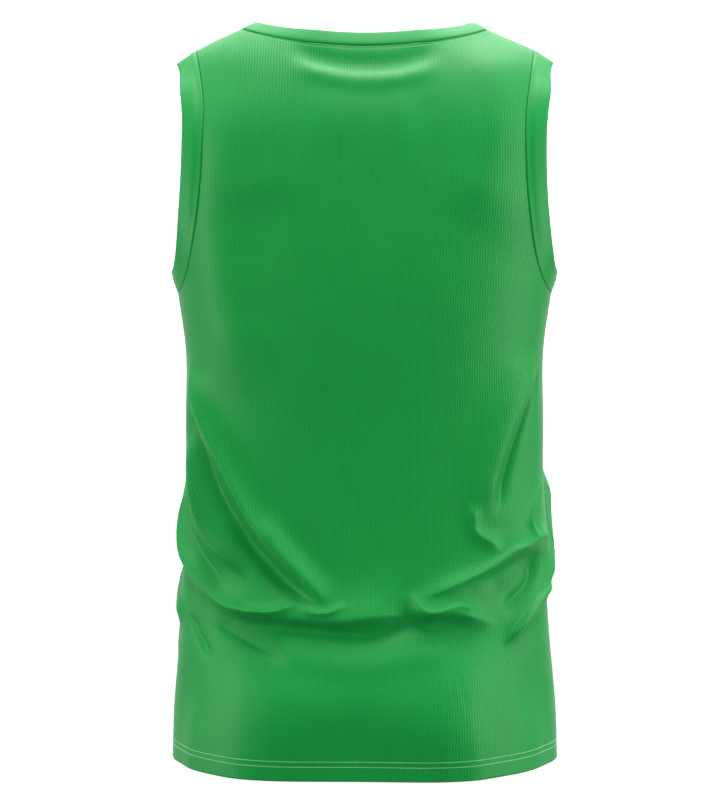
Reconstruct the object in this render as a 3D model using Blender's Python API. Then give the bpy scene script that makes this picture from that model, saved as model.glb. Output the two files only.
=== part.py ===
"""A sleeveless athletic vest, filled out as if worn: five sewn cloth pieces as thin closed walls.

Metres. +Z is up, the front faces -Y and +X is the wearer's left. The origin lies on the centre
plane, level with the middle of the shoulder seams.
"""
from collections import namedtuple

import bmesh
import bpy
import numpy as np

# Whole garment
HEM_UP = -0.7010        # lower edge at the side seams
HEM_DROP = 0.0035       # how much lower the edge hangs at centre back and centre front
HEM_TALL = 0.0200       # turned-up hem
UNDERARM_UP = -0.2500   # lowest point of the armhole seam
NECK_X = 0.1193         # where the neck seam crosses the shoulder line
NECK_UP = 0.0065
NECK_SQUARE = 0.85      # how square the neck is seen from above; 1 is an ellipse
TIP_X = 0.1665          # where the armhole seam crosses the shoulder line
SHOULDER_FALL = 0.48    # drop of the shoulder line per metre outwards

# Cloth
WALL = 0.0014           # single knit
HEM_WALL = 0.0028       # turned-up knit, two layers
BAND_WALL = 0.0018      # folded band, set this much proud of the panels:
BAND_PROUD = 0.0003
SEAM_GAP = 0.0003
ARM_BAND_WIDE = 0.0220
NECK_BAND_WIDE = 0.0155

# Body form: half of the girth is measured as REACH from a centre line to a side seam, at any height
REACH = 0.2350
ROUND_POWER = 2.4
ARCH_LONG = 0.2000      # way from where the shoulders begin to round over up to the shoulder seam

Section = namedtuple("Section", "up half_width back front")
SECTIONS = [
    Section(-0.701, 0.1890, 0.112, 0.116),
    Section(-0.650, 0.1870, 0.112, 0.115),
    Section(-0.600, 0.1815, 0.105, 0.113),
    Section(-0.530, 0.1765, 0.094, 0.111),
    Section(-0.470, 0.1755, 0.0925, 0.111),
    Section(-0.430, 0.1735, 0.094, 0.112),
    Section(-0.370, 0.1735, 0.099, 0.115),
    Section(-0.305, 0.1735, 0.107, 0.119),
    Section(-0.250, 0.1810, 0.1125, 0.121),
    Section(-0.170, 0.1880, 0.1135, 0.118),
    Section(-0.090, 0.1890, 0.1055, 0.106),
    Section(-0.020, 0.1870, 0.092, 0.088),
    Section(0.050, 0.1820, 0.080, 0.070),
]

# A panel's armhole seam, from the underarm up to the shoulder: how far round it lies, and its rise
Armhole = namedtuple("Armhole", "across rise")
BACK_ARMHOLE = [
    Armhole(0.2350, -0.2500),
    Armhole(0.1910, -0.2430),
    Armhole(0.1780, -0.2300),
    Armhole(0.1625, -0.1990),
    Armhole(0.1527, -0.1620),
    Armhole(0.1485, -0.1225),
    Armhole(0.1492, -0.0860),
    Armhole(0.1550, -0.0480),
    Armhole(0.1670, 0.0220),
    Armhole(0.1745, 0.0800),
]
FRONT_ARMHOLE = [
    Armhole(0.2350, -0.2500),
    Armhole(0.1840, -0.2420),
    Armhole(0.1670, -0.2250),
    Armhole(0.1500, -0.1900),
    Armhole(0.1420, -0.1500),
    Armhole(0.1400, -0.1100),
    Armhole(0.1470, -0.0620),
    Armhole(0.1620, -0.0100),
    Armhole(0.1745, 0.0400),
]

# out is the way the panel faces along Y; the columns are those of half a panel
Panel = namedtuple("Panel", "out depth arch_up neck_depth armhole "
                   "neck_columns tip_columns low_rows high_rows")
BACK = Panel(1, "back", -0.12, 0.0760, BACK_ARMHOLE, 18, 4, 42, 14)
FRONT = Panel(-1, "front", -0.16, 0.0960, FRONT_ARMHOLE, 11, 3, 22, 14)
HEM_ROWS = 3            # rows of points on the hem
EASING_TURNS = 100      # times that the points inside a panel are moved to the middle of their neighbours
UNDERARM_BOW = 0.0450   # how much lower the row of points at the underarm lies at the centre line

# The bands turn out of the panels' surface by these angles, at these heights
Flare = namedtuple("Flare", "up degrees")
ARM_FLARE = [Flare(-0.250, 8), Flare(-0.160, 14), Flare(-0.100, 18), Flare(-0.055, 22), Flare(-0.025, -4)]
NECK_FLARE = [Flare(-0.080, 0), Flare(0.010, 0)]
BAND_SOFT = 0.010       # way along a band over which its turns are evened out

# Folds: a path over the cloth (millimetres round from centre back, and up), the height of the ridge
# or the depth of the trough, and how wide it is on the left and on the right as the path runs
Fold = namedtuple("Fold", "path height left right")
FOLDS = [
    # broad form of the figure that fills it
    Fold([(120, 20), (113, -60), (98, -130), (90, -199)], 3.9, 49, 43),
    Fold([(-87, -201), (-119, -136), (-126, -59), (-118, 4)], 8, 57, 34),
    Fold([(110, -148), (112, -215), (120, -300)], -2.6, 33, 42),
    Fold([(129, -43), (142, -119), (143, -231), (131, -363)], 8, 34, 36),
    Fold([(62, -90), (0, -100), (-58, -92)], 3.4, 41, 36),
    Fold([(126, -645), (60, -641), (-1, -632), (-61, -650), (-122, -641)], 7.5, 40, 41),
    Fold([(104, -565), (108, -640), (110, -841)], 9.2, 32, 56),
    Fold([(-100, -558), (-92, -639), (-107, -840)], 10.1, 59, 33),
    Fold([(163, -578), (193, -643), (171, -840)], -7.8, 33, 29),
    Fold([(-160, -577), (-188, -645), (-171, -840)], -8.6, 35, 32),
    # left side, from the waist down to the middle
    Fold([(201, -306), (188, -335), (171, -364), (155, -390), (140, -415), (123, -446), (108, -470),
          (88, -498), (60, -524), (32, -546)], 14.4, 15, 15),
    Fold([(206, -340), (196, -372), (177, -411), (150, -449), (118, -482), (85, -511), (60, -533),
          (42, -549)], -5.5, 13, 13),
    Fold([(101, -454), (99, -464), (86, -487), (29, -547)], 5.8, 13, 13),
    Fold([(208, -380), (198, -408), (189, -430), (180, -450), (162, -481), (141, -501),
          (117, -524)], 7.2, 13, 13),
    Fold([(236, -418), (235, -448), (229, -473), (214, -494), (193, -511), (169, -528), (140, -545),
          (108, -552), (78, -549), (62, -540)], 6.3, 13, 13),
    Fold([(222, -430), (212, -458), (191, -484), (165, -509), (134, -531)], -5.4, 13, 13),
    Fold([(264, -512), (246, -531), (226, -548), (204, -568)], 5, 13, 13),
    # right side
    Fold([(-190, -306), (-178, -335), (-162, -356), (-145, -384), (-132, -418), (-124, -448),
          (-122, -474)], 7.2, 26, 13),
    Fold([(-98, -451), (-108, -461), (-109, -474), (-128, -488), (-138, -498)], 4.5, 13, 13),
    Fold([(-224, -511), (-192, -482), (-181, -485), (-156, -494), (-134, -505), (-109, -516),
          (-79, -527), (-43, -540)], 8.1, 13, 15),
    Fold([(-203, -507), (-170, -504), (-138, -515), (-111, -531)], -4.6, 13, 16),
    Fold([(-41, -529), (-48, -541), (-57, -553), (-79, -552), (-94, -554), (-118, -560)], 7.7, 13, 16),
    Fold([(-250, -405), (-252, -445), (-243, -484), (-222, -514), (-190, -540)], 8.1, 13, 13),
    Fold([(-188, -494), (-184, -516), (-164, -536), (-136, -550)], -5.5, 13, 13),
    Fold([(-198, -316), (-182, -350), (-163, -384), (-151, -412), (-141, -440),
          (-134, -466)], -5.5, 13, 13),
    Fold([(-217, -526), (-208, -531), (-172, -552), (-136, -586)], 8.3, 13, 13),
    # roll across the small of the back, and the dark hollow under it
    Fold([(156, -538), (129, -547), (92, -555), (60, -558), (22, -559), (-12, -555),
          (-52, -552)], 10.3, 13, 27),
    Fold([(-42, -548), (-85, -556), (-110, -558), (-134, -566)], 4.5, 13, 20),
    Fold([(150, -560), (110, -561), (63, -564), (26, -569), (-5, -571), (-32, -566), (-70, -558),
          (-121, -557)], -4.5, 13, 13),
    # front
    Fold([(242, -404), (282, -436), (330, -474), (392, -506)], 4.5, 16, 13),
    Fold([(250, -452), (290, -488), (340, -520), (410, -540)], 4, 13, 14),
    Fold([(-244, -430), (-280, -468), (-330, -500), (-388, -524)], 4.5, 13, 15),
    Fold([(-256, -500), (-300, -520), (-352, -534), (-410, -540)], 3.1, 13, 13),
    Fold([(330, -548), (400, -558), (470, -562), (540, -557), (610, -545)], 4.5, 13, 20),
    # under the neck band
    Fold([(80, -26), (63, -28), (31, -36), (0, -39), (-32, -37), (-64, -28), (-80, -26)], -4, 9, 9),
    Fold([(75, -44), (58, -46), (31, -54), (0, -58), (-32, -55), (-59, -47), (-75, -44)], 2.5, 8, 9),
]
PATH_STEPS = 24
END_FADE = 0.25         # part of a fold's path over which it fades in and out

BODY_COLOUR = (0.015, 0.215, 0.060)
BAND_COLOUR = (0.018, 0.235, 0.070)


def spline(xs, ys, at):
    """Smooth curve through the points (xs, ys), read at the places at."""
    xs, ys = np.array(xs, float), np.array(ys, float)
    count, step = len(xs), np.diff(xs)
    system, right = np.eye(count), np.zeros(count)
    for i in range(1, count - 1):
        system[i, i - 1:i + 2] = step[i - 1], 2 * (step[i - 1] + step[i]), step[i]
        right[i] = 6 * ((ys[i + 1] - ys[i]) / step[i] - (ys[i] - ys[i - 1]) / step[i - 1])
    bend = np.linalg.solve(system, right)
    i = np.clip(np.searchsorted(xs, at) - 1, 0, count - 2)
    part = (at - xs[i]) / step[i]
    rest = 1 - part
    return (rest * ys[i] + part * ys[i + 1]
            + step[i] ** 2 / 6 * ((rest ** 3 - rest) * bend[i] + (part ** 3 - part) * bend[i + 1]))


def section(column, up):
    """One column of the section table, read at the heights up."""
    return spline([row.up for row in SECTIONS], [getattr(row, column) for row in SECTIONS], up)


def quarter_round():
    """Quarter of the body's section: share of its length, and how far across and out it is there."""
    turn = np.linspace(0, np.pi / 2, 400)
    across, out = np.sin(turn) ** (2 / ROUND_POWER), np.cos(turn) ** (2 / ROUND_POWER)
    waist = SECTIONS[4]
    length = np.hypot(np.diff(across) * waist.half_width, np.diff(out) * waist.back).cumsum()
    return np.append(0, length) / length[-1], across, out


QUARTER_SHARE, QUARTER_ACROSS, QUARTER_OUT = quarter_round()
STEP = 0.002


def shoulder_line(x):
    """Height of the line over the shoulders; inside the neck it is rounded over."""
    x = np.abs(x)
    inside = NECK_UP + SHOULDER_FALL / (2 * NECK_X) * (NECK_X ** 2 - x ** 2)
    return np.where(x < NECK_X, inside, NECK_UP - SHOULDER_FALL * (x - NECK_X))


def body(panel, share, rise):
    """Points of the smooth form; share is -1 and 1 at the side seams and 0 on the centre line.

    rise is the height, up to where the shoulders begin to round over, and then the way over them.
    """
    across = np.interp(np.abs(share), QUARTER_SHARE, QUARTER_ACROSS)
    out = np.interp(np.abs(share), QUARTER_SHARE, QUARTER_OUT)
    over = np.clip((rise - panel.arch_up) / ARCH_LONG, 0, 1) * np.pi / 2
    low = np.minimum(rise, panel.arch_up)
    level = low + (shoulder_line(TIP_X) - panel.arch_up) * np.sin(over)
    x = np.sign(share) * section("half_width", level) * across
    up = low + (shoulder_line(x) - panel.arch_up) * np.sin(over)
    y = panel.out * (section(panel.depth, level) * out * np.cos(over) + SEAM_GAP / 2)
    return np.stack([x, y, up], -1)


def normals(surface, panel, share, rise):
    """Outward unit normals of a surface function.

    Those on the side and shoulder seams are level with the seam, so that the panels keep their gap.
    """
    inside = np.clip(share, STEP - 1, 1 - STEP)
    along = surface(panel, inside + STEP, rise) - surface(panel, inside - STEP, rise)
    below = np.minimum(rise, panel.arch_up + ARCH_LONG - STEP * REACH)
    upward = surface(panel, share, below + STEP * REACH) - surface(panel, share, below - STEP * REACH)
    normal = np.cross(upward, along) * panel.out
    on_seam = np.abs(body(panel, share, rise)[..., 1]) < SEAM_GAP
    normal[..., 1] = np.where(on_seam, 0, normal[..., 1])
    return normal / np.linalg.norm(normal, axis=-1, keepdims=True)


def fold_lift(around, up):
    """How far the folds lift the cloth off the smooth form, at the places (around, up)."""
    lift = np.zeros(around.shape)
    for fold in FOLDS:
        path = np.array(fold.path) / 1000
        at = np.append(0, np.hypot(*np.diff(path, axis=0).T).cumsum())
        steps = np.linspace(0, at[-1], PATH_STEPS + 1)
        path = np.stack([spline(at, path[:, k], steps) for k in range(2)], -1)
        nearest = np.full(around.shape, np.inf)
        amount = np.zeros(around.shape)
        for k, (start, end) in enumerate(zip(path, path[1:])):
            way = end - start
            long = np.hypot(*way)
            aside = (around - start[0] + 2 * REACH) % (4 * REACH) - 2 * REACH
            above = up - start[1]
            part = np.clip((aside * way[0] + above * way[1]) / long ** 2, 0, 1)
            gap = np.hypot(aside - part * way[0], above - part * way[1])
            left = way[0] * above - way[1] * aside > 0
            along = (k + part) / PATH_STEPS
            end_fade = np.sin(np.pi / 2 * np.clip(np.minimum(along, 1 - along) / END_FADE, 0, 1)) ** 2
            here = end_fade * np.exp(-(gap * 1000 / np.where(left, fold.left, fold.right)) ** 2)
            amount = np.where(gap < nearest, here, amount)
            nearest = np.minimum(gap, nearest)
        lift += fold.height / 1000 * amount
    return lift


def neck_seam(panel, turn):
    """Share and rise of the neck seam; turn is 0 at the centre line and 1 on the shoulder."""
    x = NECK_X * np.sin(turn * np.pi / 2)
    y = panel.neck_depth * np.cos(turn * np.pi / 2) ** NECK_SQUARE
    over = np.zeros(len(turn))
    for _ in range(20):
        level = panel.arch_up + (shoulder_line(TIP_X) - panel.arch_up) * np.sin(over)
        across = x / section("half_width", level)
        out = np.interp(across, QUARTER_ACROSS, QUARTER_OUT)
        over = np.arccos(np.clip(y / (section(panel.depth, level) * out), 0, 1))
    share = np.interp(across, QUARTER_ACROSS, QUARTER_SHARE)
    return share, panel.arch_up + ARCH_LONG * over / (np.pi / 2)


def armhole_seam(panel, turn):
    """Share and rise of the armhole seam; turn is 0 at the underarm and 1 on the shoulder."""
    rows = panel.armhole
    steps = [np.hypot(b.across - a.across, b.rise - a.rise) for a, b in zip(rows, rows[1:])]
    at = np.append(0, np.cumsum(steps)) / np.sum(steps)
    return (spline(at, [row.across / REACH for row in rows], turn),
            spline(at, [row.rise for row in rows], turn))


def patch(bottom, top, centre, side, u, v):
    """Fills in a four-sided patch from its edges; u runs from centre to side and v upwards."""
    v = v[:, None]
    return ((1 - u) * centre[:, None] + u * side[:, None] + (1 - v) * bottom + v * top
            - (1 - u) * ((1 - v) * bottom[0] + v * top[0]) - u * ((1 - v) * bottom[-1] + v * top[-1]))


def eased(plan):
    """Evens out a flat grid of points between its fixed edges, with no cell turned over."""
    for _ in range(EASING_TURNS):
        up, down = plan[:, 2:, 1:-1], plan[:, :-2, 1:-1]
        left, right = plan[:, 1:-1, :-2], plan[:, 1:-1, 2:]
        turned = plan[:, 2:, 2:] - plan[:, 2:, :-2] - plan[:, :-2, 2:] + plan[:, :-2, :-2]
        tall = ((up - down) ** 2).sum(0)
        wide = ((right - left) ** 2).sum(0)
        skew = ((right - left) * (up - down)).sum(0)
        middle = tall * (left + right) + wide * (up + down) - skew * turned / 2
        plan[:, 1:-1, 1:-1] = middle / (2 * (tall + wide))
    return plan


def panel_grid(panel):
    """Share and rise of a panel's points, rows going up and columns towards +X."""
    u = np.linspace(0, 1, panel.neck_columns + panel.tip_columns + 1)
    edge = HEM_UP - HEM_DROP * (1 - u ** 2) ** 2
    bow = UNDERARM_UP - UNDERARM_BOW * (1 - u ** 4)
    low = [edge + part * HEM_TALL for part in (0, 0.5, 0.97)]
    low += [edge + HEM_TALL + part * (bow - edge - HEM_TALL)
            for part in np.linspace(0.003, 1, panel.low_rows + 1)]
    v = np.linspace(0, 1, panel.high_rows + 1)
    top = panel.arch_up + ARCH_LONG
    side_share, side_rise = armhole_seam(panel, v)
    neck_share, neck_rise = neck_seam(panel, np.linspace(0, 1, panel.neck_columns + 1))
    tip = np.linspace(neck_share[-1], side_share[-1], panel.tip_columns + 1)[1:]
    centre_rise = bow[0] + v * (neck_rise[0] - bow[0])
    share = patch(u, np.append(neck_share, tip), 0 * v, side_share, u, v)
    rise = patch(bow, np.append(neck_rise, tip * 0 + top), centre_rise, side_rise, u ** 2, v)
    share = np.vstack([np.tile(u, (len(low), 1)), share[1:]])
    rise = np.vstack([low, rise[1:]])
    share, rise = (np.hstack([sign * half[:, :0:-1], half]) for sign, half in ((-1, share), (1, rise)))
    plan = np.stack([share * REACH, rise])
    plan[:, HEM_ROWS:] = eased(plan[:, HEM_ROWS:])
    return plan[0] / REACH, plan[1]


def cloth(panel, share, rise):
    """Points of the panel's outer face, folded."""
    smooth = body(panel, share, rise)
    around = REACH * np.where(panel.out > 0, share, np.sign(share) * (2 - np.abs(share)))
    return smooth + normals(body, panel, share, rise) * fold_lift(around, smooth[..., 2])[..., None]


def wall(name, outer, inner, closed, colour):
    """Closed wall between two grids of points; closed joins the last column to the first.

    Each cell is halved along the line that runs down towards the middle column, as the folds do.
    """
    rows, columns = outer.shape[:2]
    mesh = bmesh.new()
    sheets = [[[mesh.verts.new(point) for point in row] for row in grid] for grid in (outer, inner)]
    turns = range(columns if closed else columns - 1)
    for sheet in sheets:
        for i in range(rows - 1):
            low, high = sheet[i], sheet[i + 1]
            for j in turns:
                k = (j + 1) % columns
                if j < columns // 2:
                    halves = (low[j], low[k], high[j]), (low[k], high[k], high[j])
                else:
                    halves = (low[j], low[k], high[k]), (low[j], high[k], high[j])
                for half in halves:
                    mesh.faces.new(half).smooth = True
    rims = [[(i, j % columns) for j in range(columns + closed)] for i in (0, rows - 1)]
    if not closed:
        rims += [[(i, j) for i in range(rows)] for j in (0, columns - 1)]
    for rim in rims:
        for (a, b), (c, d) in zip(rim, rim[1:]):
            mesh.faces.new((sheets[0][a][b], sheets[0][c][d], sheets[1][c][d], sheets[1][a][b]))
    for edge in mesh.edges:
        edge.smooth = all(face.smooth for face in edge.link_faces)
    bmesh.ops.recalc_face_normals(mesh, faces=mesh.faces)
    data = bpy.data.meshes.new(name)
    mesh.to_mesh(data)
    mesh.free()
    thing = bpy.data.objects.new(name, data)
    bpy.context.collection.objects.link(thing)
    material = bpy.data.materials.new(name + "_cloth")
    material.use_nodes = True
    shader = material.node_tree.nodes["Principled BSDF"]
    shader.inputs["Base Color"].default_value = (*colour, 1)
    shader.inputs["Roughness"].default_value = 0.85
    data.materials.append(material)


def panel_wall(name, points, normal):
    """A panel, with its hem doubled on the inside."""
    thick = np.full(len(points), WALL)
    thick[:HEM_ROWS] = HEM_WALL
    wall(name, points, points - normal * thick[:, None, None], False, BODY_COLOUR)


def ring(first, second):
    """Closed loop from two runs of points whose ends nearly meet."""
    return np.vstack([(first[:1] + second[-1:]) / 2, first[1:-1],
                      (first[-1:] + second[:1]) / 2, second[1:-1]])


def band_wall(name, seam, normal, inward, wide, flares):
    """A band sewn along the closed loop seam; inward points from the seam into the panels.

    Its free edge is evened out along the band, so that it runs smoothly over the shoulder.
    """
    tangent = np.roll(seam, -1, 0) - np.roll(seam, 1, 0)
    tangent /= np.linalg.norm(tangent, axis=1, keepdims=True)
    away = np.cross(tangent, normal)
    away *= -np.sign(np.sum(away * inward))
    flare = np.radians(np.interp(seam[:, 2], [row.up for row in flares], [row.degrees for row in flares]))
    turned = away * np.cos(flare)[:, None] + normal * np.sin(flare)[:, None]
    face = normal * np.cos(flare)[:, None] - away * np.sin(flare)[:, None]
    step = np.linalg.norm(np.roll(seam, -1, 0) - seam, axis=1)
    length = step.cumsum()
    apart = np.abs(length[:, None] - length)
    apart = np.minimum(apart, length[-1] - apart)
    weight = np.exp(-(apart / BAND_SOFT) ** 2) * (step + np.roll(step, -1))
    weight /= weight.sum(1, keepdims=True)
    turned, face = weight @ turned, weight @ face
    turned /= np.linalg.norm(turned, axis=1, keepdims=True)
    face /= np.linalg.norm(face, axis=1, keepdims=True)
    start = seam + BAND_PROUD * normal + SEAM_GAP * away
    even = weight @ start
    outer = np.stack([start, even + turned * wide / 2, even + turned * wide])
    wall(name, outer, outer - BAND_WALL * np.stack([normal, face, face]), True, BAND_COLOUR)


def build():
    """Builds the five pieces."""
    for old in list(bpy.data.objects):
        bpy.data.objects.remove(old)
    made = []
    for name, panel in (("back_panel", BACK), ("front_panel", FRONT)):
        plan = panel_grid(panel)
        points, normal = cloth(panel, *plan), normals(cloth, panel, *plan)
        panel_wall(name, points, normal)
        made.append((panel, points, normal))

    for name, edge, beside in (("armhole_band_right", 0, 1), ("armhole_band_left", -1, -2)):
        runs = []
        for panel, points, normal in made:
            run = np.stack([points[:, edge], normal[:, edge], points[:, beside] - points[:, edge]])
            runs.append(run[:, HEM_ROWS + panel.low_rows:])
        seam, face, inward = (ring(back, front[::-1]) for back, front in zip(*runs))
        band_wall(name, seam, face, inward, ARM_BAND_WIDE, ARM_FLARE)

    runs = []
    for panel, points, normal in made:
        run = np.stack([points[-1], normal[-1], points[-2] - points[-1]])
        runs.append(run[:, panel.tip_columns:-panel.tip_columns])
    seam, face, inward = (ring(back, front[::-1]) for back, front in zip(*runs))
    band_wall("neck_band", seam, face, inward, NECK_BAND_WIDE, NECK_FLARE)


build()
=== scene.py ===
"""Looks of the sleeveless athletic vest: knit cloth, bands, seams, stitching, light and camera.

Metres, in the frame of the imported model: +Z up, the front faces -Y, the camera looks at the back.
"""
from collections import namedtuple

import bpy
import numpy as np
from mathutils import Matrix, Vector


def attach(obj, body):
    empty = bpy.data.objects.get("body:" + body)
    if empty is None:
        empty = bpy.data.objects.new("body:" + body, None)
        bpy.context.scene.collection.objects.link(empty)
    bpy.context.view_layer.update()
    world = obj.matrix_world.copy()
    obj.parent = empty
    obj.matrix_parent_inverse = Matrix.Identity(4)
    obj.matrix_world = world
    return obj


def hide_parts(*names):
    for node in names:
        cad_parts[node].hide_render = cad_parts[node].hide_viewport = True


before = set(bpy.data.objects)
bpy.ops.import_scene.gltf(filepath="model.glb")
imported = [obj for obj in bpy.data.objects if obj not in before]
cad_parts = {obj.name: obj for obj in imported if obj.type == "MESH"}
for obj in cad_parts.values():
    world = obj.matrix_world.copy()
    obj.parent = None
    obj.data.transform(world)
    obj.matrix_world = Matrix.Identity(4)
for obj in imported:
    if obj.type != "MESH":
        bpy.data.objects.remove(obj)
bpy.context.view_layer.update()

# Whole garment, the sizes that the solids have
HEM_UP = -0.7010
HEM_DROP = 0.0035
HEM_TALL = 0.0200
UNDERARM_UP = -0.2500
NECK_X = 0.1193
NECK_UP = 0.0065
NECK_SQUARE = 0.85
TIP_X = 0.1665
SHOULDER_FALL = 0.48
REACH = 0.2350
ROUND_POWER = 2.4
ARCH_LONG = 0.2000
SEAM_GAP = 0.0003
ARM_BAND_WIDE = 0.0220
NECK_BAND_WIDE = 0.0155

Section = namedtuple("Section", "up half_width back front")
SECTIONS = [
    Section(-0.701, 0.1890, 0.112, 0.116),
    Section(-0.650, 0.1870, 0.112, 0.115),
    Section(-0.600, 0.1815, 0.105, 0.113),
    Section(-0.530, 0.1765, 0.094, 0.111),
    Section(-0.470, 0.1755, 0.0925, 0.111),
    Section(-0.430, 0.1735, 0.094, 0.112),
    Section(-0.370, 0.1735, 0.099, 0.115),
    Section(-0.305, 0.1735, 0.107, 0.119),
    Section(-0.250, 0.1810, 0.1125, 0.121),
    Section(-0.170, 0.1880, 0.1135, 0.118),
    Section(-0.090, 0.1890, 0.1055, 0.106),
    Section(-0.020, 0.1870, 0.092, 0.088),
    Section(0.050, 0.1820, 0.080, 0.070),
]

# A panel's armhole seam, from the underarm up to the shoulder: how far round it lies, and its rise
Armhole = namedtuple("Armhole", "across rise")
BACK_ARMHOLE = [
    Armhole(0.2350, -0.2500),
    Armhole(0.1910, -0.2430),
    Armhole(0.1780, -0.2300),
    Armhole(0.1625, -0.1990),
    Armhole(0.1527, -0.1620),
    Armhole(0.1485, -0.1225),
    Armhole(0.1492, -0.0860),
    Armhole(0.1550, -0.0480),
    Armhole(0.1670, 0.0220),
    Armhole(0.1745, 0.0800),
]
FRONT_ARMHOLE = [
    Armhole(0.2350, -0.2500),
    Armhole(0.1840, -0.2420),
    Armhole(0.1670, -0.2250),
    Armhole(0.1500, -0.1900),
    Armhole(0.1420, -0.1500),
    Armhole(0.1400, -0.1100),
    Armhole(0.1470, -0.0620),
    Armhole(0.1620, -0.0100),
    Armhole(0.1745, 0.0400),
]

Panel = namedtuple("Panel", "out depth arch_up neck_depth armhole "
                            "neck_columns tip_columns low_rows high_rows")
BACK = Panel(1, "back", -0.12, 0.0760, BACK_ARMHOLE, 14, 4, 34, 14)
FRONT = Panel(-1, "front", -0.16, 0.0960, FRONT_ARMHOLE, 11, 3, 22, 14)
EASING_TURNS = 100
UNDERARM_BOW = 0.0450

# How far a band turns outwards from the cloth it is sewn to, at heights from low to high
Flare = namedtuple("Flare", "up degrees")
ARM_FLARE = [
    Flare(-0.250, 8),
    Flare(-0.160, 14),
    Flare(-0.100, 18),
    Flare(-0.055, 22),
    Flare(-0.025, -4),
]
NECK_FLARE = [Flare(-0.080, 0), Flare(0.010, 0)]

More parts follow.
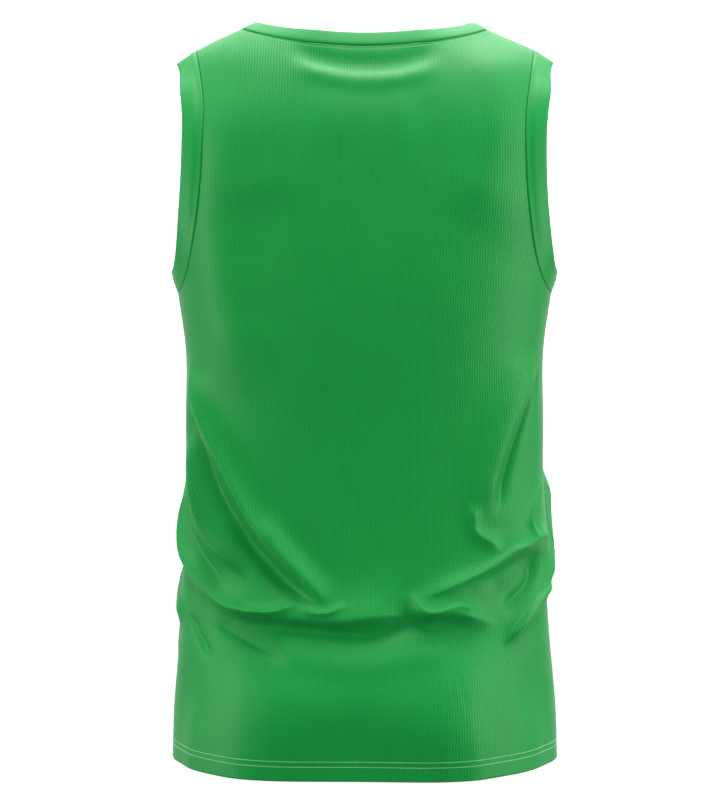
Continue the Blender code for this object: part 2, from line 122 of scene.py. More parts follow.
# Folds: a path over the cloth (millimetres round from centre back, and up), the height of the ridge
# or the depth of the trough, how wide it is on the left and on the right as the path runs, and how
# keen its crest is, from 0, round, to 1, sharp
Fold = namedtuple("Fold", "path height left right keen")
FOLDS = [
    # broad form of the figure that fills it
    Fold([(120, 20), (113, -60), (98, -130), (90, -199)], 3.9, 48.7, 43.3, 0),
    Fold([(-87, -201), (-119, -136), (-126, -59), (-118, 4)], 8, 56.8, 33.9, 0),
    Fold([(110, -148), (112, -215), (120, -300)], -2.6, 33.1, 42.2, 0),
    Fold([(129, -43), (142, -119), (143, -231), (131, -363)], 8, 34.3, 36.1, 0),
    Fold([(62, -90), (0, -100), (-58, -92)], 3.4, 41, 36.3, 0),
    Fold([(126, -645), (60, -641), (-1, -632), (-61, -650), (-122, -641)], 7.5, 39.6, 41.4, 0),
    Fold([(104, -565), (108, -640), (110, -841)], 9.2, 31.9, 55.6, 0),
    Fold([(-100, -558), (-92, -639), (-107, -840)], 10.1, 58.7, 33.1, 0),
    Fold([(163, -578), (193, -643), (171, -840)], -7.8, 32.8, 29.2, 0),
    Fold([(-160, -577), (-188, -645), (-171, -840)], -8.6, 35.2, 32.2, 0),
    # left side, from the waist down to the middle
    Fold([(201, -306), (188, -335), (171, -364), (155, -390), (140, -415), (123, -446),
          (108, -470), (88, -498), (60, -524), (32, -546)], 16, 15, 15, 0.85),
    Fold([(206, -340), (196, -372), (177, -411), (150, -449), (118, -482), (85, -511), (60, -533),
          (42, -549)], -13, 13, 10, 0.4),
    Fold([(146, -464), (120, -489), (96, -510), (70, -530), (42, -548)], -4, 9, 7, 0.3),
    Fold([(101, -454), (99, -464), (86, -487), (29, -547)], 6.4, 7.2, 10.8, 0.02),
    Fold([(208, -380), (198, -408), (189, -430), (180, -450), (162, -481), (141, -501),
          (117, -524)], 8, 9, 8, 0.7),
    Fold([(236, -418), (235, -448), (229, -473), (214, -494), (193, -511), (169, -528), (140, -545),
          (108, -552), (78, -549), (62, -540)], 7, 8, 6, 0.7),
    Fold([(222, -430), (212, -458), (191, -484), (165, -509), (134, -531)], -6, 7, 8, 0.2),
    Fold([(254, -488), (230, -506), (203, -523), (170, -542)], -4, 7, 7, 0.3),
    Fold([(264, -512), (246, -531), (226, -548), (204, -568)], 5.5, 12, 12, 0.3),
    Fold([(268, -548), (244, -558), (233, -579), (213, -600)], 1.1, 9.1, 6.6, 0.42),
    Fold([(192, -556), (178, -570), (165, -584), (152, -598)], -4, 4, 9, 0.7),
    Fold([(158, -560), (132, -572), (106, -583), (66, -601)], -3.2, 4, 9, 0.5),
    # right side
    Fold([(-190, -306), (-178, -335), (-162, -356), (-145, -384), (-132, -418), (-124, -448),
          (-122, -474)], 8, 26, 13, 0.2),
    Fold([(-98, -451), (-108, -461), (-109, -474), (-128, -488), (-138, -498)], 5, 8, 8, 0.6),
    Fold([(-224, -511), (-192, -482), (-181, -485), (-156, -494), (-134, -505), (-109, -516),
          (-79, -527), (-43, -540)], 9, 9.8, 15, 0.68),
    Fold([(-203, -507), (-170, -504), (-138, -515), (-111, -531)], -5.1, 7.7, 16.2, 0),
    Fold([(-41, -529), (-48, -541), (-57, -553), (-79, -552), (-94, -554),
          (-118, -560)], 8.5, 7, 15.8, 0.57),
    Fold([(-250, -405), (-252, -445), (-243, -484), (-222, -514), (-190, -540)], 9, 13, 12, 0.4),
    Fold([(-188, -494), (-184, -516), (-164, -536), (-136, -550)], -7, 8, 7, 0.3),
    Fold([(-198, -316), (-182, -350), (-163, -384), (-151, -412), (-141, -440),
          (-134, -466)], -7, 9, 6, 0.9),
    Fold([(-217, -526), (-208, -531), (-172, -552), (-136, -586)], 9.2, 5, 6.6, 1),
    Fold([(-202, -424), (-190, -448), (-177, -472), (-185, -492)], 4, 5, 4, 0.8),
    # roll across the small of the back, and the dark hollow under it
    Fold([(156, -538), (129, -547), (92, -555), (60, -558), (22, -559), (-12, -555),
          (-52, -552)], 11.5, 6.5, 27.2, 0.4),
    Fold([(-42, -548), (-85, -556), (-110, -558), (-134, -566)], 5, 7.5, 20.5, 0.44),
    Fold([(150, -560), (110, -561), (63, -564), (26, -569), (-5, -571), (-32, -566), (-70, -558),
          (-121, -557)], -5, 9, 7, 0.17),
    Fold([(110, -590), (60, -594), (0, -600), (-50, -592), (-100, -586)], 2.5, 12, 12, 0),
    # thin sharp crests
    Fold([(195, -414), (182, -446), (163, -480), (141, -500), (115, -526)], 3.8, 3.5, 3.5, 1),
    Fold([(136, -541), (118, -549), (100, -552), (80, -550), (62, -540)], 4, 2.5, 4.5, 1),
    Fold([(66, -541), (56, -550), (41, -553), (27, -549), (17, -543)], 4, 2.5, 4.5, 1),
    Fold([(-181, -493), (-156, -492), (-133, -504), (-106, -518), (-79, -530),
          (-51, -540)], 2.8, 2.5, 3, 1),
    Fold([(-51, -540), (-57, -550), (-73, -551), (-93, -546), (-115, -556)], 2.8, 3.5, 2.5, 1),
    Fold([(-219, -534), (-196, -545), (-172, -554), (-144, -580)], 3, 2.5, 3, 1),
    # front
    Fold([(242, -404), (282, -436), (330, -474), (392, -506)], 5, 16, 13, 0),
    Fold([(250, -452), (290, -488), (340, -520), (410, -540)], 4.5, 12, 14, 0),
    Fold([(300, -470), (345, -505), (400, -526)], -3, 10, 10, 0),
    Fold([(-244, -430), (-280, -468), (-330, -500), (-388, -524)], 5, 12, 15, 0),
    Fold([(-256, -500), (-300, -520), (-352, -534), (-410, -540)], 3.5, 12, 11, 0),
    Fold([(330, -548), (400, -558), (470, -562), (540, -557), (610, -545)], 5, 13, 20, 0),
    Fold([(340, -574), (410, -584), (470, -588), (530, -583), (600, -572)], -2.5, 18, 16, 0),
    # under the neck band
    Fold([(80, -26), (63, -28), (31, -36), (0, -39), (-32, -37), (-64, -28), (-80, -26)], -4, 9, 9, 0),
    Fold([(75, -44), (58, -46), (31, -54), (0, -58), (-32, -55), (-59, -47), (-75, -44)], 2.5, 8, 9, 0),
]
PATH_STEPS = 24         # straight steps that a fold's path is followed in
END_FADE = 0.25         # part of the path over which a fold fades in, and out
KEEN_ROUND = 0.25       # how rounded the sharpest crest still is
KEEN_FALL = 1.7         # how fast a sharp crest falls away
REACH_OF_FOLD = 3.0     # widths of a fold beyond which its lift is nothing

# Places of the visual cloth's rows and columns between those of the plan
EDGE_STEPS = np.array([0, 0.02, 0.045, 0.08, 0.125, 0.19, 0.27, 0.36, 0.48, 0.6, 0.73, 0.86])
FOLDED_ROWS = {"back": (5, 33), "front": (3, 21)}     # rows of the plan that the folds cross
FINE_STEPS = {"back": 8, "front": 6}                  # steps between those rows, and between columns
PLAIN_STEPS = 4                                       # steps between the other rows
HEM_STEPS = 10                                        # rows of points up the hem


def spline(xs, ys, at):
    """Smooth curve through the points (xs, ys), read at the places at."""
    xs, ys = np.array(xs, float), np.array(ys, float)
    count, step = len(xs), np.diff(xs)
    system, right = np.eye(count), np.zeros(count)
    for i in range(1, count - 1):
        system[i, i - 1:i + 2] = step[i - 1], 2 * (step[i - 1] + step[i]), step[i]
        right[i] = 6 * ((ys[i + 1] - ys[i]) / step[i] - (ys[i] - ys[i - 1]) / step[i - 1])
    bend = np.linalg.solve(system, right)
    i = np.clip(np.searchsorted(xs, at) - 1, 0, count - 2)
    part = (at - xs[i]) / step[i]
    rest = 1 - part
    return (rest * ys[i] + part * ys[i + 1]
            + step[i] ** 2 / 6 * ((rest ** 3 - rest) * bend[i] + (part ** 3 - part) * bend[i + 1]))


def section(column, up):
    """One column of the section table, read at the heights up."""
    return spline([row.up for row in SECTIONS], [getattr(row, column) for row in SECTIONS], up)


def quarter_round():
    """Quarter of the body's section: share of its length, and how far across and out it is there."""
    turn = np.linspace(0, np.pi / 2, 4000)
    across, out = np.sin(turn) ** (2 / ROUND_POWER), np.cos(turn) ** (2 / ROUND_POWER)
    waist = SECTIONS[4]
    length = np.hypot(np.diff(across) * waist.half_width, np.diff(out) * waist.back).cumsum()
    return np.append(0, length) / length[-1], across, out


QUARTER_SHARE, QUARTER_ACROSS, QUARTER_OUT = quarter_round()
STEP = 0.002            # step of share over which a surface's slopes are taken


def shoulder_line(x):
    """Height of the line over the shoulders; inside the neck it is rounded over."""
    x = np.abs(x)
    inside = NECK_UP + SHOULDER_FALL / (2 * NECK_X) * (NECK_X ** 2 - x ** 2)
    return np.where(x < NECK_X, inside, NECK_UP - SHOULDER_FALL * (x - NECK_X))


def body(panel, share, rise):
    """Points of the smooth form; share is -1 and 1 at the side seams and 0 on the centre line.

    rise is the height, up to where the shoulders begin to round over, and then the way over them.
    """
    across = np.interp(np.abs(share), QUARTER_SHARE, QUARTER_ACROSS)
    out = np.interp(np.abs(share), QUARTER_SHARE, QUARTER_OUT)
    over = np.clip((rise - panel.arch_up) / ARCH_LONG, 0, 1) * np.pi / 2
    low = np.minimum(rise, panel.arch_up)
    level = low + (shoulder_line(TIP_X) - panel.arch_up) * np.sin(over)
    x = np.sign(share) * section("half_width", level) * across
    up = low + (shoulder_line(x) - panel.arch_up) * np.sin(over)
    y = panel.out * (section(panel.depth, level) * out * np.cos(over) + SEAM_GAP / 2)
    return np.stack([x, y, up], -1)


def normals(surface, panel, share, rise):
    """Outward unit normals of a surface function.

    On the side and shoulder seams they lie level with the seam, so that both panels meet there.
    """
    inside = np.clip(share, STEP - 1, 1 - STEP)
    along = surface(panel, inside + STEP, rise) - surface(panel, inside - STEP, rise)
    below = np.minimum(rise, panel.arch_up + ARCH_LONG - STEP * REACH)
    upward = surface(panel, share, below + STEP * REACH) - surface(panel, share, below - STEP * REACH)
    normal = np.cross(upward, along) * panel.out
    on_seam = np.abs(body(panel, share, rise)[..., 1]) < SEAM_GAP
    normal[..., 1] = np.where(on_seam, 0, normal[..., 1])
    return normal / np.linalg.norm(normal, axis=-1, keepdims=True)


def fold_lift(around, up):
    """How far the folds lift the cloth off the smooth form, at the places (around, up)."""
    lift = np.zeros(around.size)
    around, up, shape = around.ravel(), up.ravel(), around.shape
    for fold in FOLDS:
        path = np.array(fold.path) / 1000
        at = np.append(0, np.hypot(*np.diff(path, axis=0).T).cumsum())
        steps = np.linspace(0, at[-1], PATH_STEPS + 1)
        path = np.stack([spline(at, path[:, k], steps) for k in range(2)], -1)
        reach = REACH_OF_FOLD * max(fold.left, fold.right) / 1000
        middle = (path.min(0) + path.max(0)) / 2
        half = (path.max(0) - path.min(0)) / 2 + reach
        beside = (around - middle[0] + 2 * REACH) % (4 * REACH) - 2 * REACH
        near = np.flatnonzero((np.abs(beside) < half[0]) & (np.abs(up - middle[1]) < half[1]))
        beside, height = beside[near] + middle[0], up[near]
        nearest = np.full(len(near), np.inf)
        amount = np.zeros(len(near))
        for k, (start, end) in enumerate(zip(path, path[1:])):
            way = end - start
            aside, above = beside - start[0], height - start[1]
            part = np.clip((aside * way[0] + above * way[1]) / (way @ way), 0, 1)
            gap = np.hypot(aside - part * way[0], above - part * way[1])
            left = way[0] * above - way[1] * aside > 0
            along = (k + part) / PATH_STEPS
            end_fade = np.sin(np.pi / 2 * np.clip(np.minimum(along, 1 - along) / END_FADE, 0, 1)) ** 2
            off = gap * 1000 / np.where(left, fold.left, fold.right)
            keen = np.exp(KEEN_ROUND - np.sqrt(KEEN_ROUND ** 2 + (KEEN_FALL * off) ** 2))
            here = end_fade * (fold.keen * keen + (1 - fold.keen) * np.exp(-off ** 2))
            amount = np.where(gap < nearest, here, amount)
            nearest = np.minimum(gap, nearest)
        lift[near] += fold.height / 1000 * amount
    return lift.reshape(shape)


def cloth(panel, share, rise):
    """Points of the panel's outer face, folded."""
    smooth = body(panel, share, rise)
    around = REACH * np.where(panel.out > 0, share, np.sign(share) * (2 - np.abs(share)))
    return smooth + normals(body, panel, share, rise) * fold_lift(around, smooth[..., 2])[..., None]


def neck_seam(panel, turn):
    """Share and rise of the neck seam; turn is 0 at the centre line and 1 on the shoulder."""
    x = NECK_X * np.sin(turn * np.pi / 2)
    y = panel.neck_depth * np.cos(turn * np.pi / 2) ** NECK_SQUARE
    over = np.zeros(len(turn))
    for _ in range(20):
        level = panel.arch_up + (shoulder_line(TIP_X) - panel.arch_up) * np.sin(over)
        across = x / section("half_width", level)
        out = np.interp(across, QUARTER_ACROSS, QUARTER_OUT)
        over = np.arccos(np.clip(y / (section(panel.depth, level) * out), 0, 1))
    share = np.interp(across, QUARTER_ACROSS, QUARTER_SHARE)
    return share, panel.arch_up + ARCH_LONG * over / (np.pi / 2)


def armhole_seam(panel, turn):
    """Share and rise of the armhole seam; turn is 0 at the underarm and 1 on the shoulder."""
    rows = panel.armhole
    steps = [np.hypot(b.across - a.across, b.rise - a.rise) for a, b in zip(rows, rows[1:])]
    at = np.append(0, np.cumsum(steps)) / np.sum(steps)
    return (spline(at, [row.across / REACH for row in rows], turn),
            spline(at, [row.rise for row in rows], turn))


def patch(bottom, top, centre, side, u, v):
    """Fills in a four-sided patch from its edges; u runs from centre to side and v upwards."""
    v = v[:, None]
    return ((1 - u) * centre[:, None] + u * side[:, None] + (1 - v) * bottom + v * top
            - (1 - u) * ((1 - v) * bottom[0] + v * top[0]) - u * ((1 - v) * bottom[-1] + v * top[-1]))


def eased(plan):
    """Evens out a flat grid of points between its fixed edges, with no cell turned over."""
    for _ in range(EASING_TURNS):
        up, down = plan[:, 2:, 1:-1], plan[:, :-2, 1:-1]
        left, right = plan[:, 1:-1, :-2], plan[:, 1:-1, 2:]
        turned = plan[:, 2:, 2:] - plan[:, 2:, :-2] - plan[:, :-2, 2:] + plan[:, :-2, :-2]
        tall = ((up - down) ** 2).sum(0)
        wide = ((right - left) ** 2).sum(0)
        skew = ((right - left) * (up - down)).sum(0)
        pulled = tall * (left + right) + wide * (up + down) - skew * turned / 2
        plan[:, 1:-1, 1:-1] = pulled / (2 * (tall + wide))
    return plan


def hem_edge(share):
    """Height of the hem's lower edge."""
    return HEM_UP - HEM_DROP * (1 - share ** 2) ** 2


def plan_above_hem(panel):
    """Across (metres) and rise of a panel's points above its hem, at the solids' fineness."""
    u = np.linspace(0, 1, panel.neck_columns + panel.tip_columns + 1)
    hem_top = hem_edge(u) + HEM_TALL
    bow = UNDERARM_UP - UNDERARM_BOW * (1 - u ** 4)
    low = np.array([hem_top + part * (bow - hem_top) for part in np.linspace(0, 1, panel.low_rows + 1)])
    v = np.linspace(0, 1, panel.high_rows + 1)
    side_share, side_rise = armhole_seam(panel, v)
    neck_share, neck_rise = neck_seam(panel, np.linspace(0, 1, panel.neck_columns + 1))
    tip = np.linspace(neck_share[-1], side_share[-1], panel.tip_columns + 1)[1:]
    centre_rise = bow[0] + v * (neck_rise[0] - bow[0])
    share = patch(u, np.append(neck_share, tip), 0 * v, side_share, u, v)
    top_rise = np.append(neck_rise, tip * 0 + panel.arch_up + ARCH_LONG)
    rise = patch(bow, top_rise, centre_rise, side_rise, u ** 2, v)
    share = np.vstack([np.tile(u, (len(low), 1)), share[1:]])
    rise = np.vstack([low, rise[1:]])
    share, rise = (np.hstack([sign * half[:, :0:-1], half]) for sign, half in ((-1, share), (1, rise)))
    return eased(np.stack([share * REACH, rise]))


def evenly(start, end, steps):
    """Places from start up to end, end left out, with so many steps to each unit."""
    return np.arange((end - start) * steps) / steps + start


def refined(grid, breaks, at):
    """Grid read at the row places at, smooth between the rows named in breaks."""
    parts = []
    for start, end in zip(breaks, breaks[1:]):
        here = at[(at >= start) & ((at < end) | (end == breaks[-1]))]
        run = np.arange(start, end + 1)
        parts.append(np.stack([spline(run, column, here) for column in grid[start:end + 1].T], 1))
    return np.vstack(parts)


def fine_plan(panel):
    """Share and rise of a panel's visual points above the hem.

    With them come the row at the underarm's height and the columns of a shoulder.
    """
    grids = plan_above_hem(panel)
    steps = FINE_STEPS[panel.depth]
    first, last = FOLDED_ROWS[panel.depth]
    end = panel.low_rows + panel.high_rows
    rows = np.concatenate([evenly(0, first, PLAIN_STEPS), evenly(first, last, steps),
                           evenly(last, end - 1, PLAIN_STEPS + 1), (end - EDGE_STEPS)[::-1]])
    width = grids.shape[2] - 1
    columns = np.concatenate([EDGE_STEPS, evenly(1, width - 1, steps - 1), [width - 1],
                              (width - EDGE_STEPS)[::-1]])
    row_breaks = (0, panel.low_rows, end)
    column_breaks = (0, panel.tip_columns, width - panel.tip_columns, width)
    fine = [refined(refined(grid, row_breaks, rows).T, column_breaks, columns).T for grid in grids]
    corner_row = int(np.flatnonzero(rows == panel.low_rows)[0])
    tip = int(np.flatnonzero(columns == panel.tip_columns)[0])
    return fine[0] / REACH, fine[1], corner_row, tip


def grid_mesh(name, points, uv, closed=False):
    """Smooth mesh of a grid of points; uv gives each point's place on the flat cloth."""
    rows, columns = points.shape[:2]
    index = np.arange(rows * columns).reshape(rows, columns)
    right = np.roll(index, -1, 1) if closed else index[:, 1:]
    left = index if closed else index[:, :-1]
    faces = np.stack([left[:-1], right[:-1], right[1:], left[1:]], -1).reshape(-1, 4)
    data = bpy.data.meshes.new(name)
    data.from_pydata(points.reshape(-1, 3).tolist(), [], faces.tolist())
    data.polygons.foreach_set("use_smooth", np.ones(len(faces), bool))
    layer = data.uv_layers.new(name="knit")
    corner_uv = uv.reshape(-1, 2)[faces].astype(np.float32)
    if closed:
        seam = np.zeros((rows - 1, columns), bool)
        seam[:, -1] = True
        wrap = uv[0, -1, 0] + (uv[0, -1, 0] - uv[0, -2, 0])
        corner_uv[seam.ravel(), 1, 0] = corner_uv[seam.ravel(), 2, 0] = wrap
    layer.data.foreach_set("uv", corner_uv.ravel())
    thing = bpy.data.objects.new(name, data)
    bpy.context.collection.objects.link(thing)
    return thing


# Cloth beside its sewn edges: soft rises and tucks, all in millimetres
Tuck = namedtuple("Tuck", "height away wide")
SIDE_TUCKS = [Tuck(0.20, 2.4, 1.3), Tuck(-0.8, 0, 1.1)]
SHOULDER_TUCKS = SIDE_TUCKS
ARMHOLE_TUCKS = [Tuck(0.25, 2.0, 1.1), Tuck(-0.9, 0, 0.8)]
NECK_TUCKS = [Tuck(0.15, 1.7, 0.9), Tuck(-1.4, 0, 0.9), Tuck(-0.75, 3.4, 0.65),
              Tuck(0.15, 4.9, 0.9)]


def tucked(tucks, distance):
    """Lift of the cloth at the distances from a sewn edge."""
    return sum(tuck.height * np.exp(-((distance - tuck.away) / tuck.wide) ** 2) for tuck in tucks)


def seam_tuck(points, corner_row, tip):
    """How far the cloth lies off its fold form beside the seams, where it turns in to be sewn."""
    along = np.linalg.norm(np.diff(points, axis=1), axis=2)
    from_first = np.pad(along.cumsum(1), ((0, 0), (1, 0)))
    aside = np.minimum(from_first, from_first[:, -1:] - from_first) * 1000
    up = np.linalg.norm(np.diff(points, axis=0), axis=2)
    below_top = np.pad(up[::-1].cumsum(0), ((1, 0), (0, 0)))[::-1] * 1000
    by_armhole = np.zeros(points.shape[:2], bool)
    by_armhole[corner_row:] = True
    side = np.where(by_armhole, tucked(ARMHOLE_TUCKS, aside), tucked(SIDE_TUCKS, aside))
    by_neck = np.zeros(points.shape[:2], bool)
    by_neck[:, tip:-tip] = True
    top = np.where(by_neck, tucked(NECK_TUCKS, below_top), tucked(SHOULDER_TUCKS, below_top))
    return (side + top)[..., None] / 1000


# Turned-up hem inside: each of its rows' depth behind the outer face, and its lift off the edge
HEM_DEPTHS = [0.0021] * HEM_STEPS + [0.0019, 0.0012, 0.0004]
HEM_LIFTS = [0.0] * HEM_STEPS + [0.0002, -0.0004, -0.0003]

Made = namedtuple("Made", "points normal corner_row tip piece")


def make_panel(panel):
    """One panel's cloth, with its hem turned up inside."""
    share, rise, corner_row, tip = fine_plan(panel)
    heights = np.linspace(0, 1, HEM_STEPS + 1)[:-1, None]
    hem_share = np.tile(share[0], (HEM_STEPS, 1))
    hem_rise = hem_edge(share[0]) + heights * HEM_TALL
    share, rise = np.vstack([hem_share, share]), np.vstack([hem_rise, rise])
    corner_row += HEM_STEPS
    folded = cloth(panel, share, rise)
    normal = normals(cloth, panel, share, rise)
    points = folded + normal * seam_tuck(folded, corner_row, tip)
    uv = np.stack([share * REACH, rise], -1)
    order = list(range(HEM_STEPS, 0, -1)) + [0, 0, 0]
    inside = points[order] - normal[order] * np.array(HEM_DEPTHS)[:, None, None]
    inside[..., 2] += np.array(HEM_LIFTS)[:, None]
    inside_uv = uv[order] * (1, -1) + (0, 2 * HEM_UP)
    piece = grid_mesh(panel.depth + "_cloth", np.vstack([inside, points]), np.vstack([inside_uv, uv]))
    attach(piece, "root")
    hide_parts(panel.depth + "_panel")
    return Made(folded, normal, corner_row, tip, piece)


made = {panel.depth: make_panel(panel) for panel in (BACK, FRONT)}


def ring(first, second):
    """Closed loop from two runs of points whose ends nearly meet."""
    return np.concatenate([(first[:1] + second[-1:]) / 2, first[1:-1],
                           (first[-1:] + second[:1]) / 2, second[1:-1]])


# Profile of a band, as its way across and its height: rolled over at the seam, flat, folded back
SEAM_ROLL = [(0.0003, -0.0017), (0.0003, -0.0008), (0.0005, -0.0001), (0.0010, 0.0004),
             (0.0018, 0.0006)]
FREE_EDGE = [(-0.0006, 0.0004), (-0.0001, 0.0), (0, -0.0006), (-0.0004, -0.0012)]
FLAT_START, FLAT_END = 0.0030, 0.0014      # from the seam, and from the free edge
FLAT_HEIGHT = 0.0006
FLAT_CROWN = 0.0004     # how far the band's middle stands above its edges
BACK_HEIGHT = -0.0014
BLEND = 0.009           # way over which a band leaves its seam's corner and turns
BAND_SOFT = 0.010       # way along a band over which its turns are evened out


def unit(rows):
    """Rows of vectors, each brought to length 1."""
    return rows / np.linalg.norm(rows, axis=1, keepdims=True)


def band(name, runs, wide, flares):
    """A folded band sewn along a closed seam."""
    seam, normal, inward = (ring(back, front[::-1]) for back, front in zip(*runs))
    tangent = np.roll(seam, -1, 0) - np.roll(seam, 1, 0)
    tangent /= np.linalg.norm(tangent, axis=1, keepdims=True)
    away = np.cross(tangent, normal)
    away *= -np.sign(np.sum(away * inward)) / np.linalg.norm(away, axis=1, keepdims=True)
    flare = np.interp(seam[:, 2], [row.up for row in flares], [row.degrees for row in flares])
    flare = np.radians(flare)[:, None]
    turned = away * np.cos(flare) + normal * np.sin(flare)
    face = normal * np.cos(flare) - away * np.sin(flare)
    step = np.linalg.norm(np.roll(seam, -1, 0) - seam, axis=1)
    length = np.append(0, step.cumsum())
    apart = np.abs(length[:-1, None] - length[None, :-1])
    apart = np.minimum(apart, length[-1] - apart)
    weight = np.exp(-(apart / BAND_SOFT) ** 2) * (step + np.roll(step, 1))
    weight /= weight.sum(1, keepdims=True)
    even_seam = weight @ seam
    turned, face = unit(weight @ turned), unit(weight @ face)
    across = np.linspace(FLAT_START, wide - FLAT_END, 10)
    crown = FLAT_HEIGHT + FLAT_CROWN * np.sin(np.pi * across / wide)
    profile = SEAM_ROLL + list(zip(across, crown))
    profile += [(wide + way, height) for way, height in FREE_EDGE]
    profile += [(way, BACK_HEIGHT) for way in across[::-3]]
    rows, uv = [], []
    done = 0
    for k, (way, height) in enumerate(profile):
        mix = min(way / BLEND, 1) ** 2 * (3 - 2 * min(way / BLEND, 1))
        start = seam * (1 - mix) + even_seam * mix
        aside = away * (1 - mix) + turned * mix
        outwards = normal * (1 - mix) + face * mix
        rows.append(start + aside * way + outwards * height)
        done += 0 if k == 0 else np.hypot(way - profile[k - 1][0], height - profile[k - 1][1])
        uv.append(np.stack([length[:-1], np.full(len(seam), done)], -1))
    piece = grid_mesh(name, np.array(rows), np.array(uv), closed=True)
    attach(piece, "root")
    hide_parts(name.replace("_cloth", ""))
    return piece


def seam_run(made_panel, edge, beside, by_neck):
    """A panel's sewn edge: its points, its normals and the way from it into the cloth."""
    points, normal, corner_row, tip, _ = made_panel
    if by_neck:
        run = np.stack([points[edge], normal[edge], points[beside] - points[edge]])
        return run[:, tip:-tip]
    run = np.stack([points[:, edge], normal[:, edge], points[:, beside] - points[:, edge]])
    return run[:, corner_row:]


bands = []
for name, edge, beside, wide, flares in (
        ("armhole_band_right_cloth", 0, 8, ARM_BAND_WIDE, ARM_FLARE),
        ("armhole_band_left_cloth", -1, -9, ARM_BAND_WIDE, ARM_FLARE),
        ("neck_band_cloth", -1, -9, NECK_BAND_WIDE, NECK_FLARE)):
    runs = [seam_run(made[depth], edge, beside, name.startswith("neck")) for depth in ("back", "front")]
    bands.append(band(name, runs, wide, flares))


class Value:
    """A shader output that Python's operators can work on."""

    def __init__(self, tree, socket):
        self.tree, self.socket = tree, socket

    def math(self, operation, *values):
        node = self.tree.nodes.new("ShaderNodeMath")
        node.operation = operation
        for place, value in zip(node.inputs, values):
            plug(self.tree, place, value)
        return Value(self.tree, node.outputs[0])

    def __add__(self, other):
        return self.math("ADD", self, other)

    def __radd__(self, other):
        return self.math("ADD", other, self)

    def __sub__(self, other):
        return self.math("SUBTRACT", self, other)

    def __rsub__(self, other):
        return self.math("SUBTRACT", other, self)

    def __mul__(self, other):
        return self.math("MULTIPLY", self, other)

    def __rmul__(self, other):
        return self.math("MULTIPLY", other, self)

    def sin(self):
        return self.math("SINE", self)

    def abs(self):
        return self.math("ABSOLUTE", self)


def plug(tree, place, value):
    """Gives a socket a value or a link."""
    if isinstance(value, Value):
        tree.links.new(value.socket, place)
    else:
        place.default_value = value


class Cloth:
    """A cloth material being built."""

    def __init__(self, name):
        self.material = bpy.data.materials.new(name)
        self.material.use_nodes = True
        self.tree = self.material.node_tree
        self.shader = self.tree.nodes["Principled BSDF"]

    def node(self, kind, settings, output, **places):
        """Any node: its settings first, then its sockets' values and links."""
        node = self.tree.nodes.new(kind)
        for key, value in settings.items():
            setattr(node, key, value)
        for key, value in places.items():
            plug(self.tree, node.inputs[key.replace("_", " ")], value)
        return Value(self.tree, node.outputs[output])

    def blend(self, part, first, second):
        """Colour between two colours."""
        node = self.tree.nodes.new("ShaderNodeMix")
        node.data_type = "RGBA"
        for k, value in ((0, part), (6, first), (7, second)):
            plug(self.tree, node.inputs[k], value)
        return Value(self.tree, node.outputs[2])

    def flat_place(self):
        """Place on the flat cloth, in metres, and its two parts."""
        spot = self.node("ShaderNodeUVMap", {"uv_map": "knit"}, "UV")
        u, v = (self.node("ShaderNodeSeparateXYZ", {}, part, Vector=spot) for part in "XY")
        return spot, u, v

    def noise(self, spot, scale, detail, roughness):
        """Soft random values from 0 to 1 over the cloth."""
        return self.node("ShaderNodeTexNoise", {}, "Fac", Vector=spot, Scale=scale, Detail=detail,
                         Roughness=roughness)

    def relief(self, height, strength):
        """Normal of a surface with these small heights."""
        return self.node("ShaderNodeBump", {}, "Normal", Height=height, Distance=1.0, Strength=strength)

    def finish(self, **places):
        for key, value in places.items():
            plug(self.tree, self.shader.inputs[key.replace("_", " ")], value)
        return self.material


WALE = 0.0026           # pitch of the vertical ribs
COURSE = 0.0012         # pitch of the rows of stitches
BAND_WALE = 0.0011
PLY = 0.0006            # pitch of the thread's twist
# In each pair the groove green is painted shade: the rib green darkened where shade falls between the
# ribs
BODY_GREENS_GROOVE_SHADED = (0.0015, 0.150, 0.024, 1), (0.0035, 0.272, 0.046, 1)      # in a groove, on a rib
BAND_GREENS_GROOVE_SHADED = (0.0015, 0.190, 0.031, 1), (0.0035, 0.270, 0.047, 1)
# Thread greens, darker and paler: the mix between them paints shade into the thread's twist and adds
# random tone
THREAD_GREENS_TWIST_SHADED = (0.260, 0.620, 0.320, 1), (0.520, 0.860, 0.560, 1)
SHEEN_GREEN = (0.45, 0.85, 0.55, 1)


def knit(name, greens_groove_shaded, wale, rib_depth):
    """Knit cloth with vertical ribs; its place on the flat cloth comes from the knit map."""
    made_of = Cloth(name)
    spot, u, v = made_of.flat_place()
    loops = made_of.noise(spot, 1100.0, 2.0, 0.6)
    drift = made_of.noise(spot, 75.0, 3.0, 0.6)
    cloud = made_of.noise(spot, 28.0, 3.0, 0.5)
    rib = ((u + (drift - 0.5) * 0.0030) * (np.pi / wale)).sin().abs()
    row = (v * (2 * np.pi / COURSE)).sin() * 0.5 + 0.5
    # shade mixes painted shade, darker in the grooves between ribs and a little between the rows of
    # stitches, with random heather tone from loops and cloud
    shade = rib * 0.42 + row * 0.06 + (loops - 0.5) * 1.7 + (cloud - 0.5) * 0.30 + 0.40
    height = rib * rib_depth + row * rib_depth * 0.15 + (loops - 0.5) * rib_depth * 2.0
    relief = made_of.relief(height, 0.8)
    return made_of.finish(Base_Color=made_of.blend(shade, *greens_groove_shaded), Roughness=0.46, Normal=relief,
                          Sheen_Weight=0.05, Sheen_Roughness=0.45, Sheen_Tint=SHEEN_GREEN,
                          Specular_IOR_Level=0.25)


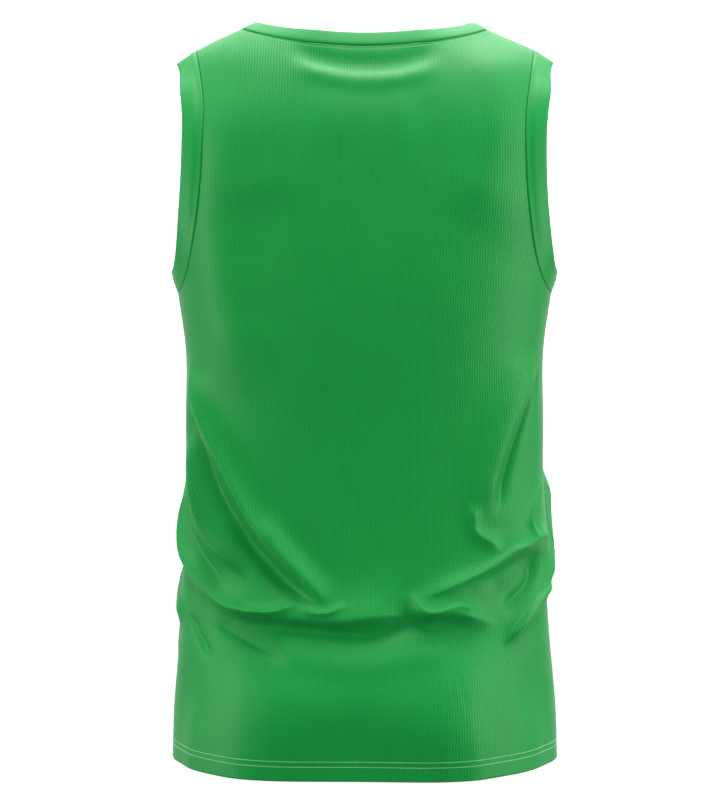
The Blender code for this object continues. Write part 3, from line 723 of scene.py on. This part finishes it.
def thread(name):
    """Sewing thread, paler than the knit and lightly twisted."""
    made_of = Cloth(name)
    spot, u, _ = made_of.flat_place()
    ply = (u * (2 * np.pi / PLY)).sin() * 0.5 + 0.5
    worn = made_of.noise(spot, 300.0, 1.0, 0.5)
    relief = made_of.relief(ply * 0.00005, 0.6)
    # The ply term is painted shade, darker between the turns of the twist; worn adds random tone
    shade = ply * 0.4 + worn * 0.6
    return made_of.finish(Base_Color=made_of.blend(shade, *THREAD_GREENS_TWIST_SHADED), Roughness=0.6,
                          Normal=relief, Specular_IOR_Level=0.3)


body_knit = knit("body_rib_knit", BODY_GREENS_GROOVE_SHADED, WALE, 0.00016)
band_knit = knit("band_smooth_knit", BAND_GREENS_GROOVE_SHADED, BAND_WALE, 0.00005)
for depth in ("back", "front"):
    made[depth].piece.data.materials.append(body_knit)
for piece in bands:
    piece.data.materials.append(band_knit)

# Hem stitching: two lines of thread all round, above the hem's lower edge
STITCH_UPS = (0.0135, 0.0184)
STITCH_PITCH = 0.00235
STITCH_LONG = 0.0019
STITCH_HALF_WIDTH = 0.00033
STITCH_PROUD = 0.00035

# Places along a stitch, as parts of its length, and its width and height there, as parts of its own
Station = namedtuple("Station", "place wide proud")
STATIONS = [
    Station(-0.50, 0.25, -0.2),
    Station(-0.30, 0.9, 0.75),
    Station(0.0, 1.0, 1.0),
    Station(0.30, 0.9, 0.75),
    Station(0.50, 0.25, -0.2),
]
STITCH_SIDE_LIFT = -0.3


def stitched_line(panel, line, above_edge):
    """One panel's line of hem stitches, as one mesh of low domed stitches."""
    share = np.linspace(-0.996, 0.996, 1600)
    rise = hem_edge(share) + above_edge
    places = cloth(panel, share[None], rise[None])[0]
    face = normals(cloth, panel, share[None], rise[None])[0]
    along = np.append(0, np.linalg.norm(np.diff(places, axis=0), axis=1).cumsum())
    middles = np.arange(STITCH_PITCH / 2, along[-1] - STITCH_LONG, STITCH_PITCH)
    order = np.arange(len(middles))
    wobble = np.sin(order * 2.4) * 0.5 + np.sin(order * 0.77) * 0.5
    rings, uv = [], []
    for station in STATIONS:
        at = middles + station.place * STITCH_LONG * (1 + 0.06 * wobble)
        point = np.stack([np.interp(at, along, places[:, k]) for k in range(3)], -1)
        out = np.stack([np.interp(at, along, face[:, k]) for k in range(3)], -1)
        tilt = 0.00005 * wobble[:, None] * station.place
        for side in (-1, 0, 1):
            lift = station.proud if side == 0 else STITCH_SIDE_LIFT
            rings.append(point + np.array([0, 0, 1]) * (side * station.wide * STITCH_HALF_WIDTH + tilt)
                         + out * lift * STITCH_PROUD)
            uv.append(np.stack([at, np.full(len(at), side * 0.0003)], -1))
    points, uv = np.stack(rings, 1), np.stack(uv, 1)
    first = np.array([3 * k + j for k in range(len(STATIONS) - 1) for j in range(2)])
    faces = np.stack([first, first + 1, first + 4, first + 3], -1)
    faces = (faces[None] + len(rings) * order[:, None, None]).reshape(-1, 4)
    if panel.out > 0:
        faces = faces[:, ::-1]
    data = bpy.data.meshes.new("%s_hem_stitches_%d" % (panel.depth, line))
    data.from_pydata(points.reshape(-1, 3).tolist(), [], faces.tolist())
    data.polygons.foreach_set("use_smooth", np.ones(len(faces), bool))
    corner_uv = uv.reshape(-1, 2)[faces].astype(np.float32)
    data.uv_layers.new(name="knit").data.foreach_set("uv", corner_uv.ravel())
    piece = bpy.data.objects.new(data.name, data)
    bpy.context.collection.objects.link(piece)
    data.materials.append(hem_thread)
    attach(piece, "root")
    return piece


hem_thread = thread("hem_thread")

# A band's length as cut; then the hem stitches of each panel, and each band's width and length picked
# out
NECK_BAND_LONG = 0.620
ARM_BAND_LONG = 0.570
for panel in (BACK, FRONT):
    stitches = [stitched_line(panel, k + 1, up) for k, up in enumerate(STITCH_UPS)]
for piece in bands:
    by_neck = piece.name.startswith("neck")
    wide, length = (NECK_BAND_WIDE, NECK_BAND_LONG) if by_neck else (ARM_BAND_WIDE, ARM_BAND_LONG)

# Grey floor and white backdrop, far below and behind the held-up vest
FLOOR_UP = -2.40
FLOOR_END = -2.0
BEND_SIZE = 0.8
BEND = [(FLOOR_END - BEND_SIZE * np.sin(turn), FLOOR_UP + BEND_SIZE * (1 - np.cos(turn)))
        for turn in np.linspace(0.1, np.pi / 2, 12)]
STUDIO = {
    "grey_floor": ([(3.0, FLOOR_UP), (FLOOR_END, FLOOR_UP), BEND[0]], 0.22),
    "white_backdrop": (BEND + [(FLOOR_END - BEND_SIZE, 3.5)], 0.8),
}
for name, (sweep, shade) in STUDIO.items():
    points = np.array([[(x, y, z) for x in (-5, 5)] for y, z in sweep])
    paper = grid_mesh(name, points, points[..., :2])
    paper.data.materials.append(Cloth(name).finish(Base_Color=(shade, shade, shade, 1), Roughness=0.9))


def lamp(name, place, aim, size, power, colour=(1, 1, 1)):
    light = bpy.data.lights.new(name, "AREA")
    light.shape = "RECTANGLE"
    light.size, light.size_y = size
    light.energy = power
    light.color = colour
    thing = bpy.data.objects.new(name, light)
    thing.location = place
    thing.rotation_mode = "QUATERNION"
    thing.rotation_quaternion = (Vector(aim) - Vector(place)).to_track_quat("-Z", "Y")
    bpy.context.collection.objects.link(thing)
    return thing


middle = (0, 0, -0.35)
lamp("top_softbox", (-0.5, 0.4, 4.2), middle, (5.0, 3.0), 318)
lamp("left_softbox", (2.5, 0.6, -0.1), middle, (1.0, 3.0), 62)
lamp("right_softbox", (-2.5, 0.6, -0.1), middle, (1.0, 3.0), 70)
fill = lamp("camera_fill", (0, 3.2, 0.4), middle, (2.5, 2.5), 66)
fill.visible_glossy = False
lamp("backdrop_light", (0, -1.2, 2.6), (0, -2.8, -0.4), (4.0, 0.6), 150)

world = bpy.data.worlds.new("studio")
world.use_nodes = True
world.node_tree.nodes["Background"].inputs["Color"].default_value = (1, 1, 1, 1)
world.node_tree.nodes["Background"].inputs["Strength"].default_value = 0.02
bpy.context.scene.world = world
bpy.context.scene.view_settings.view_transform = "Standard"

# Camera: level with the middle of the vest, behind it
CAMERA_AWAY = 2.0
CAMERA_UP = -0.3536
PIXEL = 0.974e-3        # metres a pixel of the picture covers at the vest's side seams
LONG_SIDE = 800
camera_data = bpy.data.cameras.new("camera")
camera_data.sensor_width = 36
camera_data.lens = CAMERA_AWAY / (PIXEL * LONG_SIDE) * 36
camera = bpy.data.objects.new("camera", camera_data)
camera.location = (0.0044, CAMERA_AWAY, CAMERA_UP)
camera.rotation_mode = "QUATERNION"
camera.rotation_quaternion = Vector((0, -1, 0)).to_track_quat("-Z", "Y")
bpy.context.collection.objects.link(camera)
bpy.context.scene.camera = camera
